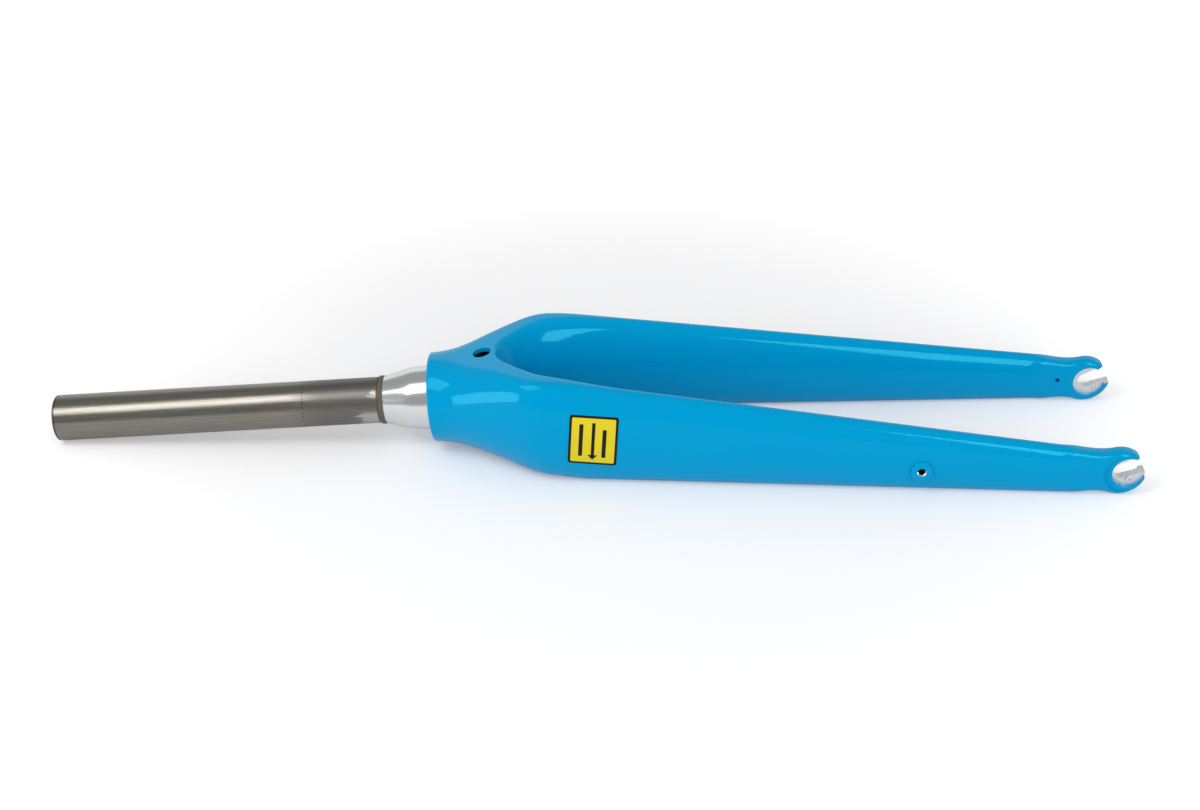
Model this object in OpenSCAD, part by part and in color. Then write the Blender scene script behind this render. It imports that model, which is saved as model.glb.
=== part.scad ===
// Rigid bicycle fork with a tapered steerer, lying front face down.
// Sizes are worked out along the steerer: x runs from the crown race face towards the wheel,
// z runs to the rear and y across. The whole fork is then laid down on the plane z = 0.

/* [Steerer] */
// Outer diameter of the steel steerer tube
steerer_d = 28.6; // [25.4:0.1:34]
// Wall of the steel steerer tube
steerer_wall = 1.6; // [1.2:0.1:2.6]
// Distance from the steerer's top end to the crown race face
steerer_length = 236.5; // [150:0.5:320]
// Bare length of the tapered lower steerer above the crown race face
lower_length = 31.5; // [27:0.5:60]
// Diameter of the lower steerer under its flare
lower_d = 38.1; // [37:0.1:39]
// Diameter of the crown race seat
race_seat_d = 39.8; // [39:0.1:46]
// Height of the crown race seat
race_seat_h = 7.5; // [5:0.5:8]
// Length of the flare
flare_length = 18.5; // [14:0.5:19]
// Diameter of the ring between tube and lower steerer
joint_ring_d = 30; // [29.4:0.1:36]
// Width of that ring
joint_ring_w = 4; // [2:0.5:8]
// Length of the spigot inside the steel tube
spigot_length = 32; // [15:1:60]
// Wall of the lower steerer
lower_wall = 3.2; // [2.4:0.1:4.5]
// Depth to which the lower steerer sits in the crown
socket_depth = 22; // [14:0.5:22]

/* [Crown] */
// Diameter of the crown's collar
collar_d = 55.2; // [48:0.2:68]
// Length of the collar before the crown gets deeper
collar_length = 15; // [10:0.5:24]
// Distance from the crown race face to where the crown reaches the blades' width
shoulder_x = 74; // [66:0.5:80]
// Distance from the crown race face to where the crown reaches the blades' depth
depth_end_x = 98.5; // [82:0.5:110]
// Distance from the crown race face to the top of the wheel arch
arch_x = 46; // [44:0.5:54]
// Length over which the arch widens into the blades' straight inner faces
arch_length = 84; // [50:1:110]
// Fullness of the arch, 2 for an ellipse and more for a fuller one
arch_fullness = 2.25; // [2:0.05:2.8]
// Rounding of the arch's edges
arch_round = 11; // [7:0.5:14]
// Distance from the crown race face to the joint between crown and blades
blade_joint_x = 83; // [81:0.5:100]
// Wall of the crown and blades
shell_wall = 2.8; // [1.6:0.1:4]
// Distance from the crown race face to the brake bolt hole
brake_hole_x = 33.8; // [30:0.2:35]
// Diameter of the hole at the rear for the recessed brake nut
brake_nut_hole_d = 11.2; // [8:0.1:12]
// Diameter of the bolt hole at the front
brake_bolt_hole_d = 6.2; // [5:0.1:8]

/* [Blades] */
// Straight distance from the crown race face to the axle
axle_to_crown = 413; // [340:1:480]
// Distance of the axle in front of the steerer axis
rake = 45; // [36:0.5:55]
// Distance from the middle plane to a blade's centre line at the shoulder
blade_y_top = 41.4; // [36:0.2:52]
// Distance from the middle plane to a blade's centre line at the axle
blade_y_tip = 55.2; // [53.6:0.2:57]
// Front to rear depth of a blade at the shoulder
blade_depth_top = 68; // [56:0.5:80]
// Front to rear depth of a blade at the axle
blade_depth_tip = 28; // [24:0.5:30]
// Thickness of a blade at the shoulder
blade_thick_top = 25; // [20:0.5:32]
// Thickness of a blade at the axle
blade_thick_tip = 13.2; // [12:0.2:16]
// Fullness of the blade section, 2 for an ellipse and more for a fuller one
blade_fullness = 2.05; // [2:0.05:3]

/* [Dropouts] */
// Distance between the machined inner faces
hub_width = 100; // [96:0.5:102]
// Plate thickness between the machined faces
plate_t = 5.5; // [4:0.1:6.5]
// Radius of the round end about the axle
lobe_r = 14.8; // [14:0.1:18]
// Width of the axle slot
slot_w = 9.4; // [8:0.1:10.5]
// Direction of the slot's rear edge to the steerer axis
slot_rear_angle = 24.5; // [20:0.5:30]
// Direction of the slot's front edge to the steerer axis
slot_front_angle = 14.5; // [8:0.5:19]
// Radius of the machined faces
spot_r = 10; // [9:0.1:11]
// Distance of the inner machined face's centre beyond the axle
spot_in_shift = 2.2; // [0:0.1:4]
// Distance of the outer machined face's centre beyond the axle
spot_out_shift = 5; // [3:0.1:6]
// Radius of the painted pocket in the outer face
pocket_r = 12.2; // [11:0.1:13]
// Height of the pocket's floor above the machined outer face
pocket_step = 2.6; // [1:0.1:3.5]
// Length of a dropout's neck above the axle
neck_length = 36; // [28:0.5:44]
// Diameter of the vent hole in the neck
vent_d = 2.8; // [1.5:0.1:4]
// Distance of the vent hole above the axle
vent_x = 17.8; // [17:0.1:20]

/* [Bosses] */
// Distance of a threaded boss above the axle
boss_x = 117; // [60:1:200]
// Height of a boss above the blade's front edge
boss_z = 16.5; // [13:0.5:24]
// Diameter of a boss's flange
boss_flange_d = 13.6; // [11:0.1:18]
// Height of a boss's flange over the blade
boss_flange_h = 1.5; // [0.8:0.1:3]
// Diameter of a boss's shank
boss_shank_d = 8.4; // [7:0.1:10]
// Length of a boss's shank below its flange
boss_shank_l = 7; // [5:0.5:10]
// Core diameter of the thread
boss_thread_core_d = 4.2; // [3.3:0.1:5]

/* [Label] */
// Length of the direction label along the blade
label_w = 29; // [15:0.1:30]
// Height of the direction label around the blade
label_h = 33.5; // [15:0.1:36]
// Distance from the crown race face to the label's middle
label_x = 100.7; // [98:0.1:140]
// Height of the label's middle above the blade's middle
label_z = 1; // [-3:0.5:4]
// Thickness of the label
label_t = 0.15; // [0.1:0.01:0.4]

/* [Fits] */
// Glue gap round the lower steerer's spigot and socket
bond_gap = 0.1; // [0.05:0.01:0.2]
// Gap round a boss's shank and under its flange
boss_gap = 0.1; // [0.05:0.01:0.2]
// Gap between the label and the blade's true surface
label_gap = 0.02; // [0.01:0.01:0.1]

/* [Hidden] */
$fn = 96;

// How far a cutting body runs past the face that it opens
cut = 1;
// Small edges: tube ends, joint ring, collar rim, a boss's flange and the mouth of its thread
end_chamfer = 0.6;
ring_round = 0.3;
rim_round = 1.6;
rim_step = 30;
flange_round = 1;
mouth_chamfer = 0.6;
// Least distance between the joint and the crown's outline before it
joint_margin = 3;
// How deep a boss's flange is let into the blade
boss_seat = 0.6;
// How far a dropout stands inside and outside its machined and painted faces
inner_lip = 2.2;
outer_rim = 1.4;
lobe_fullness = 4;
// Length over which the neck's faces run from the blade's to the round end's
neck_blend = 16;
neck_ease = 0.45;
// Angles on the round end, from the blade's side, at which the neck's rear and front run into it
rear_angle = 80;
front_angle = 68;
tip_angle = 179.8;
// End of the neck's cavity above the axle, and height of the vent over the axle
cavity_end = 13;
vent_z = 2.5;
// A blade's outlines lie closer near the crown for a spacing over 1.
blade_spacing = 1.5;
// Shares of the crown's lengths that are eased, for its width, its depth and the arch's rounding
width_ease = 0.25;
depth_ease = 0.19;
arch_ease = 0.3;
paint = [0.0, 0.57, 0.82];
steel = [0.42, 0.42, 0.43];
bare_metal = [0.8, 0.81, 0.82];
adhesive = [0.5, 0.53, 0.5];
label_yellow = [0.93, 0.8, 0.13];

// How much wider the tube is bored for the spigot, and how far past the spigot's end
bond_bore_step = 0.3;
bond_bore_end = 1.5;

// Steps of the crown's outer and inner outlines, as crown_xs takes them
outer_steps = [7, 18, 9];
inner_steps = [2, 30, 18];

steerer_r = steerer_d / 2;
bore_r = steerer_r - steerer_wall;
spigot_r = bore_r + bond_bore_step - bond_gap;
lower_r = lower_d / 2;
lower_bore_r = spigot_r - lower_wall;
collar_r = collar_d / 2;
axle_x = sqrt(axle_to_crown * axle_to_crown - rake * rake);

// At rest the steerer's top end and the round ends of the dropouts touch the ground.
rest_run = steerer_length + axle_x;
rest_drop = rake - steerer_r;
rest_tilt = atan(rest_drop / rest_run) + asin(lobe_r / norm([rest_run, rest_drop]));
rest_lift = steerer_r * cos(rest_tilt) + steerer_length * sin(rest_tilt);
rest_low_x = -steerer_length * cos(rest_tilt) - (steerer_r - end_chamfer) * sin(rest_tilt);
rest_high_x = axle_x * cos(rest_tilt) + rake * sin(rest_tilt) + lobe_r;
rest_shift = -(rest_low_x + rest_high_x) / 2;

// Lengths along a blade are counted from the shoulder to the axle.
blade_run = axle_x - shoulder_x;
neck_x = axle_x - neck_length;

function mix(a, b, t) = a + (b - a) * t;
function limit(v, low, high) = min(max(v, low), high);
// A ramp from 0 to 1 that is straight in the middle and eased over a share e at each end.
function eased(t, e) =
    t <= 0 ? 0 :
    t >= 1 ? 1 :
    t < e ? t * t / (2 * e * (1 - e)) :
    t > 1 - e ? 1 - (1 - t) * (1 - t) / (2 * e * (1 - e)) :
    (t - e / 2) / (1 - e);
// Height of a superellipse's quarter over the share d of its half width, counted from its edge.
function rounding(d, n) = pow(max(0, 1 - pow(1 - limit(d, 0, 1), n)), 1 / n);

// A blade's centre line, thickness, depth and front edge at the distance x below the race face
function along_blade(x) = (x - shoulder_x) / blade_run;
function blade_y(x) = mix(blade_y_top, blade_y_tip, along_blade(x));
function blade_a(x) = mix(blade_thick_top, blade_thick_tip, along_blade(x)) / 2;
function blade_b(x) = mix(blade_depth_top, blade_depth_tip, along_blade(x)) / 2;
function ground_z(x) = -steerer_r - (x + steerer_length) * tan(rest_tilt);

// The blades' inner faces are straight, and the wheel arch between them is a superellipse. wall is
// how far a skin lies inside the metal.
inner_slope = (blade_y_tip - blade_y_top - (blade_thick_tip - blade_thick_top) / 2) / blade_run;
inner_start = blade_y(0) - blade_a(0);
slope_norm = norm([1, inner_slope]);
function straight_y(x, wall) = inner_start + inner_slope * x + wall * slope_norm;
function arch_share(x, wall) = max(0, 1 - (x - arch_x + wall) / (arch_length + wall));
function inner_y(x, wall) =
    straight_y(x, wall) * pow(max(0, 1 - pow(arch_share(x, wall), arch_fullness)), 1 / arch_fullness);
// Distance of a point from the arch or from the straight inner face
function from_arch(x, y, wall) =
    let (n = arch_fullness,
         u = arch_share(x, wall),
         w = straight_y(x, wall),
         f = pow(pow(u, n) + pow(y / w, n), 1 / n))
    (f - 1) * pow(f, n - 1) / norm([pow(u, n - 1) / (arch_length + wall), pow(y / w, n - 1) / w]);

// The crown's outline widens and deepens from the round collar to the two blades.
function widening(x) = eased(x / shoulder_x, width_ease);
function deepening(x) = eased((x - collar_length) / (depth_end_x - collar_length), depth_ease);
function outer_y(x) = mix(collar_r, blade_y(x) + blade_a(x), widening(x));
function outer_a(x) = mix(collar_r, blade_a(x), widening(x));
function half_depth(x) = mix(collar_r, blade_b(x), deepening(x));
function middle_z(x) = mix(0, ground_z(x) + blade_b(x), deepening(x));
function fullness(x) = mix(2, blade_fullness, deepening(x));
function inner_a(x) =
    mix(arch_round, blade_a(x), eased((x - arch_x) / (shoulder_x - arch_x), arch_ease));
// Height of the outer face at x and z over the middle plane
function outer_face_y(x, z) =
    let (n = fullness(x), q = abs(z - middle_z(x)) / half_depth(x))
    outer_y(x) - outer_a(x) * (1 - pow(1 - pow(q, n), 1 / n));

// Half of the crown's outline at x, from the inner edge over the rear to the outer edge and back
// over the front. wall insets it. Above the arch the inner edge is the middle plane.
side_steps = 14;
side_last = 2 * side_steps;
function side_point(x, wall, k, face) =
    let (y0 = inner_y(x, wall),
         y1 = outer_y(x) - wall,
         y = mix(y0, y1, (1 - cos(180 * k / side_steps)) / 2),
         n = fullness(x),
         outer_g = rounding((y1 - y) / (outer_a(x) - wall), n),
         inner_g = rounding(from_arch(x, y, wall) / (inner_a(x) - wall), n),
         g = k == side_steps || (k == 0 && y0 > 0) ? 0 : outer_g * inner_g)
    [x, y, middle_z(x) + face * (half_depth(x) - wall) * g];
function side_outline(x, wall) = [
    for (k = [0 : side_steps]) side_point(x, wall, k, 1),
    for (k = [side_steps - 1 : -1 : 0]) side_point(x, wall, k, -1)];
// The same outline without the point that closes it, for a blade
function loop(x, wall) =
    let (outline = side_outline(x, wall))
    [for (k = [0 : side_last - 1]) outline[k]];

// Two triangles between neighbouring points of two outlines
function quad(a, b, c, d) = [[a, c, b], [a, d, c]];
// The walls of a skin through closed outlines of n points, from the point number first on
function skin(first, rows, n, outward) = [
    for (i = [0 : rows - 2], j = [0 : n - 1])
        let (a = first + i * n + j,
             b = first + i * n + (j + 1) % n,
             c = b + n,
             d = a + n)
        each outward ? quad(a, d, c, b) : quad(a, b, c, d)];
// The flat ring between an outer and an inner outline of n points
function ring(outer, inner, n, forward) = [
    for (j = [0 : n - 1])
        let (a = outer + j, b = outer + (j + 1) % n, c = inner + (j + 1) % n, d = inner + j)
        each forward ? quad(a, d, c, b) : quad(a, b, c, d)];

// A tube through outer and inner outlines. A blind end closes both.
module hollow_loft(outers, inners, blind) {
    n = len(outers[0]);
    rows = len(outers);
    inner_rows = len(inners);
    inner_first = rows * n;
    outer_end = (rows - 1) * n;
    inner_end = inner_first + (inner_rows - 1) * n;
    polyhedron(
        points = [for (o = outers) each o, for (o = inners) each o],
        faces = [
            each skin(0, rows, n, true),
            each skin(inner_first, inner_rows, n, false),
            each ring(0, inner_first, n, false),
            if (!blind) each ring(outer_end, inner_end, n, true),
            if (blind) [for (j = [0 : n - 1]) outer_end + j],
            if (blind) [for (j = [n - 1 : -1 : 0]) inner_end + j]]);
}

// Round parts are drawn along z and turned, so that z points from the steerer towards the wheel.
module along_steerer() {
    rotate([0, 90, 0]) rotate_extrude() children();
}

// Round parts on the fork's right side are drawn along z, which is turned outwards.
module outwards(x, y, z) {
    translate([x, y, z]) rotate([-90, 0, 0]) children();
}

module laid_down() {
    translate([rest_shift, 0, rest_lift]) rotate([0, -rest_tilt, 0]) children();
}

module left() {
    mirror([0, 1, 0]) children();
}

// The steel tube, open at both ends and bored a little wider for the spigot
module steerer_tube() {
    low = -lower_length - joint_ring_w;
    bored_from = -lower_length - spigot_length - bond_bore_end;
    color(steel) laid_down() along_steerer() polygon([
        [bore_r, -steerer_length],
        [steerer_r - end_chamfer, -steerer_length],
        [steerer_r, -steerer_length + end_chamfer],
        [steerer_r, low],
        [spigot_r + bond_gap, low],
        [spigot_r + bond_gap, bored_from],
        [bore_r, bored_from]]);
}

// The ring of adhesive between the tube and the lower steerer
module joint_ring() {
    r = joint_ring_d / 2;
    top = -lower_length - joint_ring_w;
    color(adhesive) laid_down() along_steerer() polygon([
        [spigot_r + bond_gap, top],
        [r - ring_round, top],
        [r, top + ring_round],
        [r, -lower_length - ring_round],
        [r - ring_round, -lower_length],
        [spigot_r + bond_gap, -lower_length]]);
}

// The turned lower steerer: spigot, flare, crown race seat and the part that sits in the crown
module lower_steerer() {
    top = -lower_length;
    flare_end = top + flare_length;
    seat_r = race_seat_d / 2;
    color(bare_metal) laid_down() along_steerer() polygon([
        [lower_bore_r, top - spigot_length],
        [spigot_r - end_chamfer, top - spigot_length],
        [spigot_r, top - spigot_length + end_chamfer],
        [spigot_r, top],
        [joint_ring_d / 2 - ring_round, top],
        [lower_r, flare_end],
        [lower_r, -race_seat_h],
        [seat_r, -race_seat_h + seat_r - lower_r],
        [seat_r, 0],
        [lower_r, 0],
        [lower_r, socket_depth],
        [lower_r - lower_wall, socket_depth],
        [lower_r - lower_wall, flare_end],
        [lower_bore_r, top]]);
}

// Distances of the crown's outlines: from the start to the rounded edge of the arch, over that
// edge, along the arch and to the joint. steps holds a count for the first stretch and an angle
// for each of the next two.
function crown_xs(wall, start, steps) =
    let (top = arch_x - wall, edge = arch_round - wall)
    [for (i = [0 : steps[0]]) mix(start, top - edge, i / steps[0]),
     for (a = [90 - steps[1] : -steps[1] : steps[1]]) top - edge * (1 - cos(a)),
     top,
     for (a = [steps[2] : steps[2] : 90])
         let (x = top + (arch_length + wall) * (1 - pow(cos(a), 2 / arch_fullness)))
         if (x < blade_joint_x - joint_margin) x,
     blade_joint_x];

// One skin of the crown. The left and the right half share their points in the middle plane, and
// a blade's outline closes on its own first point below the arch.
function crown_index(first, rows, top_row, side, i, j) =
    let (k = i >= top_row && j == side_last ? 0 : j,
         shared = i <= top_row && (k == 0 || k == side_last))
    first + ((shared ? 0 : side) * rows + i) * (side_last + 1) + k;
function crown_skin(first, rows, top_row, outward) = [
    for (side = [0, 1], i = [0 : rows - 2], j = [0 : side_last - 1])
        let (a = crown_index(first, rows, top_row, side, i, j),
             b = crown_index(first, rows, top_row, side, i, j + 1),
             c = crown_index(first, rows, top_row, side, i + 1, j + 1),
             d = crown_index(first, rows, top_row, side, i + 1, j))
        each (side == 0) == outward ? quad(a, d, c, b) : quad(a, b, c, d)];
// A cap starts at its outermost point, from which none of its triangles is flat.
function crown_cap(first, rows, top_row) = concat(
    [for (j = [side_steps : side_last]) crown_index(first, rows, top_row, 0, 0, j)],
    [for (j = [side_last - 1 : -1 : 1]) crown_index(first, rows, top_row, 1, 0, j)],
    [for (j = [0 : side_steps - 1]) crown_index(first, rows, top_row, 0, 0, j)]);
function reversed(list) = [for (i = [len(list) - 1 : -1 : 0]) list[i]];
function crown_points(stations) = [
    for (side = [1, -1], s = stations, p = side_outline(s[0], s[1])) [p[0], side * p[1], p[2]]];

module crown_body() {
    // Each outline is a distance and an inset. The collar's rim is rounded.
    rim = [for (a = [0 : rim_step : 90 - rim_step]) rim_round * [1 - cos(a), 1 - sin(a)]];
    outers = concat(rim, [for (x = crown_xs(0, rim_round, outer_steps)) [x, 0]]);
    inners = [for (x = crown_xs(shell_wall, socket_depth, inner_steps)) [x, shell_wall]];
    outer_rows = len(outers);
    inner_rows = len(inners);
    outer_top = search(arch_x, outers, 1, 0)[0];
    inner_top = search(arch_x - shell_wall, inners, 1, 0)[0];
    inner_first = 2 * outer_rows * (side_last + 1);
    polyhedron(
        points = concat(crown_points(outers), crown_points(inners)),
        faces = [
            each crown_skin(0, outer_rows, outer_top, true),
            each crown_skin(inner_first, inner_rows, inner_top, false),
            reversed(crown_cap(0, outer_rows, outer_top)),
            crown_cap(inner_first, inner_rows, inner_top),
            for (side = [0, 1], j = [0 : side_last - 1])
                let (a = crown_index(0, outer_rows, outer_top, side, outer_rows - 1, j),
                     b = crown_index(0, outer_rows, outer_top, side, outer_rows - 1, j + 1),
                     c = crown_index(inner_first, inner_rows, inner_top, side, inner_rows - 1, j + 1),
                     d = crown_index(inner_first, inner_rows, inner_top, side, inner_rows - 1, j))
                each side == 0 ? quad(a, d, c, b) : quad(a, b, c, d)]);
}

// The hollow crown with its socket for the lower steerer and the brake bolt's two holes
module crown() {
    color(paint) laid_down() difference() {
        crown_body();
        translate([-cut, 0, 0]) rotate([0, 90, 0])
            cylinder(r = lower_r + bond_gap, h = socket_depth + 2 * cut);
        translate([brake_hole_x, 0, 0]) cylinder(d = brake_nut_hole_d, h = collar_d);
        translate([brake_hole_x, 0, -collar_d]) cylinder(d = brake_bolt_hole_d, h = collar_d);
    }
}

// Where a boss sits on the outer face of the right blade
boss_at = axle_x - boss_x;
boss_height = ground_z(boss_at) + boss_z;
boss_y = outer_face_y(boss_at, boss_height);

// A hollow tapered blade with the seat of its boss
module blade() {
    spans = 10;
    xs = [for (i = [0 : spans]) mix(blade_joint_x, neck_x, pow(i / spans, blade_spacing))];
    color(paint) laid_down() difference() {
        hollow_loft([for (x = xs) loop(x, 0)], [for (x = xs) loop(x, shell_wall)], false);
        outwards(boss_at, boss_y - boss_seat - boss_gap, boss_height)
            cylinder(d = boss_flange_d + 2 * boss_gap, h = boss_flange_h + cut);
        outwards(boss_at, boss_y - boss_seat - shell_wall - cut, boss_height)
            cylinder(d = boss_shank_d + 2 * boss_gap, h = shell_wall + boss_seat + cut);
    }
}

module right_blade() {
    blade();
}

module left_blade() {
    left() blade();
}

// A threaded boss: a rounded flange on the blade and a shank inside it
module boss_profile() {
    core_r = boss_thread_core_d / 2;
    shank_r = boss_shank_d / 2;
    flat_r = boss_flange_d / 2 - flange_round;
    difference() {
        union() {
            translate([core_r, -boss_seat - boss_shank_l])
                square([shank_r - core_r, boss_shank_l + boss_seat]);
            translate([core_r, -boss_seat])
                square([flat_r - core_r, boss_seat + boss_flange_h]);
            translate([core_r, -boss_seat])
                square([flat_r + flange_round - core_r, boss_seat + boss_flange_h - flange_round]);
            translate([flat_r, boss_flange_h - flange_round])
                circle(r = flange_round);
        }
        translate([core_r, boss_flange_h])
            rotate(45)
                square(mouth_chamfer * sqrt(2), center = true);
    }
}

module boss() {
    color(paint) laid_down() outwards(boss_at, boss_y, boss_height) rotate_extrude() boss_profile();
}

module right_boss() {
    boss();
}

module left_boss() {
    left() boss();
}

// A dropout's outlines run from the blade's own end section over a neck to a round end about the
// axle. Its rear and front edge are lines of the blade, then curves, then the round end.
lobe_in = hub_width / 2 - inner_lip;
lobe_out = hub_width / 2 + plate_t + pocket_step + outer_rim;
waist_x = axle_x - lobe_r * cos(front_angle);
function blade_edge(x, face) = middle_z(x) + face * half_depth(x);
// A cubic from the height z0 to z1 with the slopes m0 and m1, over the share t of a run
function curve(z0, m0, z1, m1, run, t) =
    (2 * pow(t, 3) - 3 * t * t + 1) * z0 + (pow(t, 3) - 2 * t * t + t) * m0 * run
    + (3 * t * t - 2 * pow(t, 3)) * z1 + (pow(t, 3) - t * t) * m1 * run;
function dropout_edge(x, face) =
    let (angle = face > 0 ? rear_angle : front_angle,
         run = axle_x - lobe_r * cos(angle) - neck_x,
         blade_slope = (blade_edge(axle_x, face) - blade_edge(neck_x, face)) / neck_length)
    x >= neck_x + run ?
    face * sqrt(max(0, lobe_r * lobe_r - pow(x - axle_x, 2))) - rake :
    curve(blade_edge(neck_x, face), blade_slope, face * lobe_r * sin(angle) - rake,
          face / tan(angle), run, (x - neck_x) / run);
function dropout_loop(x, wall) =
    let (t = eased((x - neck_x) / neck_blend, neck_ease),
         y_in = mix(blade_y(neck_x) - blade_a(neck_x), lobe_in, t) + wall,
         y_out = mix(blade_y(neck_x) + blade_a(neck_x), lobe_out, t) - wall,
         rear = dropout_edge(x, 1) - wall,
         front = dropout_edge(x, -1) + wall,
         n = mix(blade_fullness, lobe_fullness, t))
    [for (k = [0 : side_last - 1])
        let (c = cos(180 * k / side_steps),
             face = k <= side_steps ? 1 : -1,
             height = k % side_steps == 0 ? 0 : rounding(1 - abs(c), n))
        [x, mix(y_in, y_out, (1 - c) / 2), mix(front, rear, (1 + face * height) / 2)]];

module axle_slot() {
    r = slot_w / 2;
    reach = 2 * lobe_r;
    rear = [-sin(slot_rear_angle), cos(slot_rear_angle)] * r;
    front = [sin(slot_front_angle), -cos(slot_front_angle)] * r;
    circle(r = r);
    polygon([
        rear,
        front,
        front + reach * [cos(slot_front_angle), sin(slot_front_angle)],
        rear + reach * [cos(slot_rear_angle), sin(slot_rear_angle)]]);
}

// A forged dropout: machined faces on both sides, a painted pocket on the outer one, an open slot
module dropout() {
    neck_spans = 9;
    lobe_spans = 12;
    cavity_spans = 4;
    xs = [for (i = [0 : neck_spans - 1]) mix(neck_x, waist_x, i / neck_spans),
          for (i = [0 : lobe_spans])
              axle_x - lobe_r * cos(mix(front_angle, tip_angle, i / lobe_spans))];
    cavity_xs = [for (i = [0 : cavity_spans]) mix(neck_x, axle_x - cavity_end, i / cavity_spans)];
    outer_face = hub_width / 2 + plate_t;
    color(paint) laid_down() difference() {
        hollow_loft(
            [for (x = xs) dropout_loop(x, 0)],
            [for (x = cavity_xs) dropout_loop(x, shell_wall)],
            true);
        outwards(axle_x + spot_in_shift, lobe_in - cut, -rake)
            cylinder(r = spot_r, h = inner_lip + cut);
        outwards(axle_x + spot_out_shift, outer_face, -rake)
            cylinder(r = spot_r, h = lobe_out - outer_face + cut);
        outwards(axle_x + spot_in_shift, outer_face + pocket_step, -rake) {
            cylinder(r = pocket_r, h = outer_rim + cut);
            translate([0, -pocket_r, 0])
                cube([2 * lobe_r, 2 * pocket_r, outer_rim + cut]);
        }
        translate([axle_x, lobe_out + cut, -rake]) rotate([90, 0, 0])
            linear_extrude(height = lobe_out - lobe_in + 2 * cut) axle_slot();
        outwards(axle_x - vent_x, lobe_in - cut, vent_z - rake)
            cylinder(d = vent_d, h = shell_wall + 2 * cut);
    }
}

module right_dropout() {
    dropout();
}

module left_dropout() {
    left() dropout();
}

// The direction label, a thin sheet that follows the outer face of the left blade. Its sides run
// along and across the blade's centre line.
module direction_label() {
    columns = 4;
    steps = 12;
    points_each = 2 * (steps + 1);
    turn = atan((middle_z(label_x + 1) - middle_z(label_x - 1)) / 2);
    us = [for (i = [0 : columns]) label_w * (i / columns - 0.5)];
    function sheet(u, lift) = [
        for (i = [0 : steps])
            let (v = label_h * (i / steps - 0.5),
                 x = label_x + u * cos(turn) - v * sin(turn),
                 z = middle_z(label_x) + label_z + u * sin(turn) + v * cos(turn))
            [x, outer_face_y(x, z) + lift, z]];
    color(label_yellow) laid_down() left() polyhedron(
        points = [for (u = us)
            each concat(sheet(u, label_gap), reversed(sheet(u, label_gap + label_t)))],
        faces = [
            each skin(0, columns + 1, points_each, true),
            [for (j = [points_each - 1 : -1 : 0]) j],
            [for (j = [0 : points_each - 1]) columns * points_each + j]]);
}

steerer_tube();
joint_ring();
lower_steerer();
crown();
left_blade();
right_blade();
left_dropout();
right_dropout();
left_boss();
right_boss();
direction_label();
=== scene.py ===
# Looks of a rigid bicycle fork that lies front face down: a steel steerer tube, a turned aluminium
# lower steerer, a painted crown with two bladed legs and forged dropouts, and a printed label.
from math import asin, atan, cos, hypot, pi, radians, sin, sqrt, tan

import bmesh
import bpy
from mathutils import Matrix, Vector


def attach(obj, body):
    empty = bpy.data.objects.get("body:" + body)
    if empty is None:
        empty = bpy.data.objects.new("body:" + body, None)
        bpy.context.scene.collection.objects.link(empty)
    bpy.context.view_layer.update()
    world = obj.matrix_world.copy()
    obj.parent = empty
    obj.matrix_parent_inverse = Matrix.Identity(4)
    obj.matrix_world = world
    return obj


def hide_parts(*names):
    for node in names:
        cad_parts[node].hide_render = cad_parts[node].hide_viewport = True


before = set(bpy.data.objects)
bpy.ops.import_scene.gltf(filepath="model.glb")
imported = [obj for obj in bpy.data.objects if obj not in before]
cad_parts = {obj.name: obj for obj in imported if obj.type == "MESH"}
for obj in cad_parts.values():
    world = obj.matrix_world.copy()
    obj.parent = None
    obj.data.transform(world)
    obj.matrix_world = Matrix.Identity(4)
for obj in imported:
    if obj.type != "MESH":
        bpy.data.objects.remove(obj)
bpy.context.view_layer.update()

# Sizes in millimetres, along the steerer: x from the crown race face towards the wheel, z to the
# rear and y across.
MM = 0.001
STEERER_R = 14.3
STEERER_BORE_R = 12.7
STEERER_LENGTH = 236.5
BOND_BORE_R = 13.0
BOND_BORE_FROM = -65.0
TUBE_END = -32.0
RING_R = 15.0
LOWER_TOP = -29.0
SPIGOT_R = 12.9
SPIGOT_LENGTH = 34.5
LOWER_WALL = 3.2
LOWER_R = 19.05
FLARE_END = -13.0
RACE_SEAT_R = 19.9
FLARE_SOFTNESS = 0.4
SOCKET_DEPTH = 22.0
COLLAR_R = 27.6
COLLAR_LENGTH = 15.0
RIM_ROUND = 1.6
SHOULDER_X = 74.0
SHOULDER_EASE = 0.25
DEPTH_END_X = 98.5
DEPTH_EASE = 0.19
ARCH_X = 46.0
ARCH_LENGTH = 84.0
ARCH_FULLNESS = 2.25
ARCH_ROUND = 5.0
ARCH_EASE = 0.3
SHELL_WALL = 2.8
BRAKE_HOLE_X = 33.8
BRAKE_NUT_HOLE_R = 5.6
BRAKE_BOLT_HOLE_R = 3.1
AXLE_TO_CROWN = 413.0
RAKE = 45.0
BLADE_Y = (41.4, 55.2)
BLADE_DEPTH = (68.0, 28.0)
BLADE_THICK = (25.0, 13.2)
BLADE_FULLNESS = 2.05
HUB_HALF = 50.0
PLATE = 5.5
LOBE_R = 14.8
LOBE_FULLNESS = 4.0
SLOT_R = 4.7
SLOT_REAR = radians(24.5)
SLOT_FRONT = radians(14.5)
SPOT_R = 10.0
SPOT_IN_SHIFT = 2.2
SPOT_OUT_SHIFT = 5.0
POCKET_R = 12.2
POCKET_STEP = 2.6
INNER_LIP = 2.2
OUTER_RIM = 1.4
NECK_LENGTH = 36.0
NECK_BLEND = 16.0
NECK_EASE = 0.45
REAR_ANGLE = radians(80)
FRONT_ANGLE = radians(68)
TIP_ANGLE = radians(179.8)
CAVITY_END = 13.0
VENT_R = 1.4
VENT_X = 17.8
VENT_Z = 2.5
BOSS_X = 117.0
BOSS_Z = 16.5
BOSS_FLANGE_R = 6.8
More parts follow.
